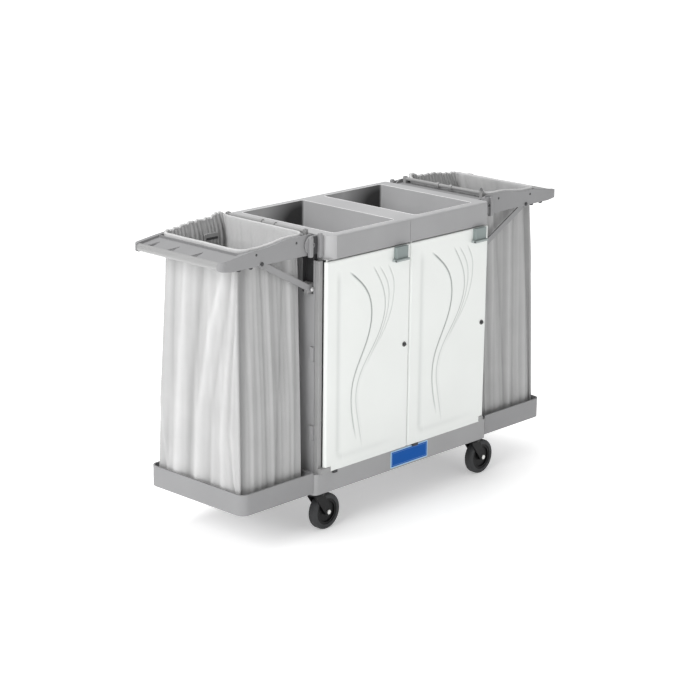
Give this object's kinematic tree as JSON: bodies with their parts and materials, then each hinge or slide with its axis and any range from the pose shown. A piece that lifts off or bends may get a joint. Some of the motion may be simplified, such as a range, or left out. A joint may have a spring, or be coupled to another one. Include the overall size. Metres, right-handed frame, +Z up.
{
  "type": "housekeeping cart",
  "caption": "Housekeeping cart: two-door cabinet with open top bins, end platforms, folding bag holders with fabric bags, on swivel castors.",
  "frame": {"origin": "on the floor, under the middle of the overall box", "axes": "+X along the cart, the doors face -Y, +Z up"},
  "size_m": [1.6764, 0.503, 1.037],
  "materials": {
    "grey_plastic": "fine moulded texture",
    "light_plastic": "satin",
    "door_white": "satin white",
    "latch_grey": "satin",
    "black_plastic": "satin black",
    "dark_plastic": "matte",
    "tyre": "matte rubber",
    "zinc_steel": "zinc plated",
    "chrome_lock": "polished",
    "blue_label": "gloss, plain",
    "bag_fabric": "woven nylon"
  },
  "bodies": {
    "root": {"back_panel": "grey_plastic", "bag_left": "bag_fabric", "bag_right": "bag_fabric", "base_chassis": "grey_plastic", "castor_bolts": "zinc_steel", "castor_plates": "zinc_steel", "centre_partition": "grey_plastic", "corner_posts": "light_plastic", "door_hinge_block": "light_plastic", "door_hinge_pins": "zinc_steel", "end_header_left": "grey_plastic", "end_header_right": "grey_plastic", "end_panel_left": "grey_plastic", "end_panel_right": "grey_plastic", "fascia_left": "grey_plastic", "fascia_right": "grey_plastic", "holder_pivot_pins": "zinc_steel", "name_plate": "blue_label", "platform_feet": "dark_plastic", "platform_left": "grey_plastic", "platform_right": "grey_plastic", "rail_clips": "light_plastic", "rail_left": "light_plastic", "rail_right": "light_plastic", "shelves": "grey_plastic", "strut_track_left": "dark_plastic", "strut_track_right": "dark_plastic", "top_tray": "grey_plastic"},
    "castor_front_left": {"castor_fork_front_left": "black_plastic", "castor_axle_front_left": "zinc_steel"},
    "wheel_front_left": {"castor_wheel_front_left": "black_plastic", "castor_tyre_front_left": "tyre"},
    "castor_rear_left": {"castor_fork_rear_left": "black_plastic", "castor_axle_rear_left": "zinc_steel"},
    "wheel_rear_left": {"castor_wheel_rear_left": "black_plastic", "castor_tyre_rear_left": "tyre"},
    "castor_front_right": {"castor_fork_front_right": "black_plastic", "castor_axle_front_right": "zinc_steel"},
    "wheel_front_right": {"castor_wheel_front_right": "black_plastic", "castor_tyre_front_right": "tyre"},
    "castor_rear_right": {"castor_fork_rear_right": "black_plastic", "castor_axle_rear_right": "zinc_steel"},
    "wheel_rear_right": {"castor_wheel_rear_right": "black_plastic", "castor_tyre_rear_right": "tyre"},
    "door_1": {"door_1": "door_white", "latch_housing_1": "latch_grey"},
    "lock_1": {"door_lock_1": "chrome_lock"},
    "latch_1": {"latch_slide_1": "latch_grey"},
    "door_2": {"door_2": "door_white", "latch_housing_2": "latch_grey"},
    "lock_2": {"door_lock_2": "chrome_lock"},
    "latch_2": {"latch_slide_2": "latch_grey"},
    "holder_left": {"holder_frame_left": "grey_plastic", "grip_bar_left": "grey_plastic"},
    "struts_left": {"struts_left": "grey_plastic"},
    "strut_feet_left": {"strut_feet_left": "light_plastic"},
    "holder_right": {"holder_frame_right": "grey_plastic", "grip_bar_right": "grey_plastic"},
    "struts_right": {"struts_right": "grey_plastic"},
    "strut_feet_right": {"strut_feet_right": "light_plastic"}
  },
  "joints": [
    {"name": "castor_swivel_front_left", "type": "hinge", "parent": "root", "child": "castor_front_left", "pos_m": [-0.402, -0.1885, 0.132], "axis": [0, 0, 1], "continuous": true},
    {"name": "wheel_spin_front_left", "type": "hinge", "parent": "castor_front_left", "child": "wheel_front_left", "pos_m": [-0.364, -0.1885, 0.0625], "axis": [0, 1, 0], "continuous": true},
    {"name": "castor_swivel_rear_left", "type": "hinge", "parent": "root", "child": "castor_rear_left", "pos_m": [-0.402, 0.2115, 0.132], "axis": [0, 0, 1], "continuous": true},
    {"name": "wheel_spin_rear_left", "type": "hinge", "parent": "castor_rear_left", "child": "wheel_rear_left", "pos_m": [-0.364, 0.2115, 0.0625], "axis": [0, 1, 0], "continuous": true},
    {"name": "castor_swivel_front_right", "type": "hinge", "parent": "root", "child": "castor_front_right", "pos_m": [0.402, -0.1885, 0.132], "axis": [0, 0, 1], "continuous": true},
    {"name": "wheel_spin_front_right", "type": "hinge", "parent": "castor_front_right", "child": "wheel_front_right", "pos_m": [0.44, -0.1885, 0.0625], "axis": [0, 1, 0], "continuous": true},
    {"name": "castor_swivel_rear_right", "type": "hinge", "parent": "root", "child": "castor_rear_right", "pos_m": [0.402, 0.2115, 0.132], "axis": [0, 0, 1], "continuous": true},
    {"name": "wheel_spin_rear_right", "type": "hinge", "parent": "castor_rear_right", "child": "wheel_rear_right", "pos_m": [0.44, 0.2115, 0.0625], "axis": [0, 1, 0], "continuous": true},
    {"name": "door_hinge_1", "type": "hinge", "parent": "root", "child": "door_1", "pos_m": [-0.396, -0.222, 0.57], "axis": [0, 0, -1], "range_deg": [0, 105]},
    {"name": "lock_turn_1", "type": "hinge", "parent": "door_1", "child": "lock_1", "pos_m": [-0.024, -0.222, 0.583], "axis": [0, -1, 0], "range_deg": [0, 90]},
    {"name": "latch_pull_1", "type": "slide", "parent": "door_1", "child": "latch_1", "axis": [0, 0, -1], "range_m": [0, 0.006], "stiffness_N_per_m": 600, "springref_m": -0.003},
    {"name": "door_hinge_2", "type": "hinge", "parent": "root", "child": "door_2", "pos_m": [0.0105, -0.222, 0.57], "axis": [0, 0, -1], "range_deg": [0, 105]},
    {"name": "lock_turn_2", "type": "hinge", "parent": "door_2", "child": "lock_2", "pos_m": [0.3825, -0.222, 0.583], "axis": [0, -1, 0], "range_deg": [0, 90]},
    {"name": "latch_pull_2", "type": "slide", "parent": "door_2", "child": "latch_2", "axis": [0, 0, -1], "range_m": [0, 0.006], "stiffness_N_per_m": 600, "springref_m": -0.003},
    {"name": "holder_fold_left", "type": "hinge", "parent": "root", "child": "holder_left", "pos_m": [-0.44, 0.0115, 0.989], "axis": [0, 1, 0], "range_deg": [0, 90], "deforming": ["bag_left"]},
    {"name": "strut_turn_left", "type": "hinge", "parent": "holder_left", "child": "struts_left", "pos_m": [-0.659, 0.0115, 0.961], "axis": [0, -1, 0], "range_deg": [0, 36.02]},
    {"name": "foot_climb_left", "type": "slide", "parent": "root", "child": "strut_feet_left", "axis": [0, 0, 1], "range_m": [0, 0.1141]},
    {"name": "holder_fold_right", "type": "hinge", "parent": "root", "child": "holder_right", "pos_m": [0.44, 0.0115, 0.989], "axis": [0, -1, 0], "range_deg": [0, 90], "deforming": ["bag_right"]},
    {"name": "strut_turn_right", "type": "hinge", "parent": "holder_right", "child": "struts_right", "pos_m": [0.659, 0.0115, 0.961], "axis": [0, 1, 0], "range_deg": [0, 36.02]},
    {"name": "foot_climb_right", "type": "slide", "parent": "root", "child": "strut_feet_right", "axis": [0, 0, 1], "range_m": [0, 0.1141]}
  ],
  "couplings": [
    {"joint": "strut_turn_left", "follows": "holder_fold_left", "ratio": 0.40013},
    {"joint": "foot_climb_left", "follows": "holder_fold_left", "m_per_rad": 0.072605},
    {"joint": "strut_turn_right", "follows": "holder_fold_right", "ratio": 0.40013},
    {"joint": "foot_climb_right", "follows": "holder_fold_right", "m_per_rad": 0.072605}
  ]
}
